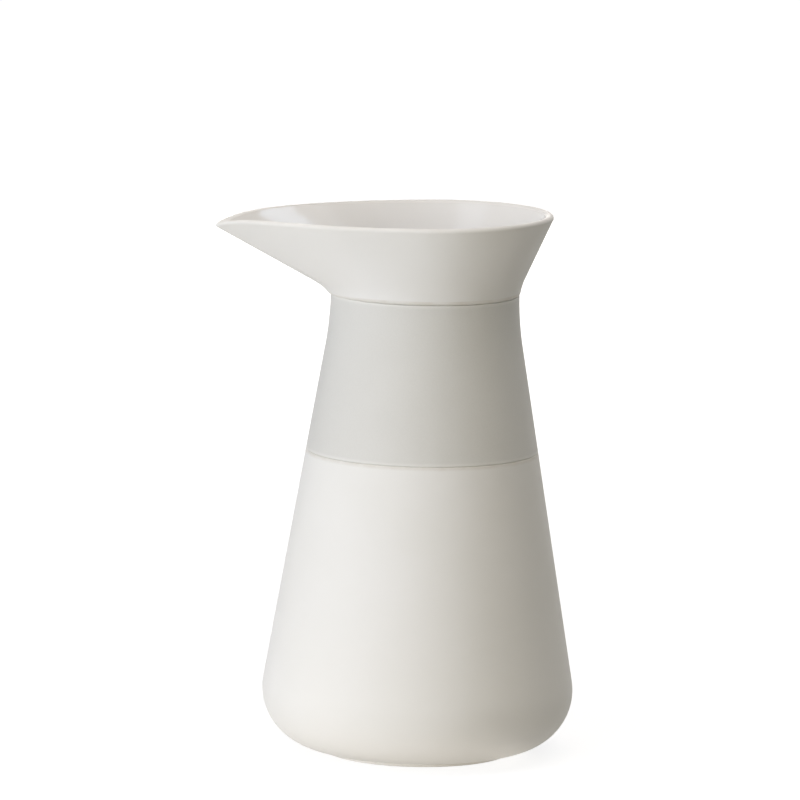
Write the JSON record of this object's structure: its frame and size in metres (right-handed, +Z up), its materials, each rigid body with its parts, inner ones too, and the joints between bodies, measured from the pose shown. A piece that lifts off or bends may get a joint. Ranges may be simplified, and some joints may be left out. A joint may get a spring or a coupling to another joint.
{
  "type": "hot milk jug with lid",
  "caption": "Tapered stoneware milk jug with a flared collar drawn out to a pointed spout, a flush silicone grip sleeve round its neck and a lift-out lid with a silicone seal.",
  "frame": {"origin": "centre of the foot ring, on the plane that the jug stands on", "axes": "+Z up along the axis of the body and the neck, -X along the spout, +Y across the jug"},
  "size_m": [0.1056, 0.09, 0.1571],
  "materials": {
    "vessel_glaze": "satin cream glaze outside, glossier inside, bare foot",
    "sleeve_silicone": "matt light grey silicone",
    "lid_glaze": "satin cream glaze",
    "seal_silicone": "matt light grey silicone"
  },
  "bodies": {
    "jug": {"jug_vessel": "vessel_glaze", "grip_sleeve": "sleeve_silicone"},
    "lid": {"lid": "lid_glaze", "lid_seal": "seal_silicone"}
  },
  "joints": [
    {"name": "lid_lift", "type": "slide", "parent": "jug", "child": "lid", "axis": [0, 0, 1], "range_m": [0, 0.06]}
  ]
}
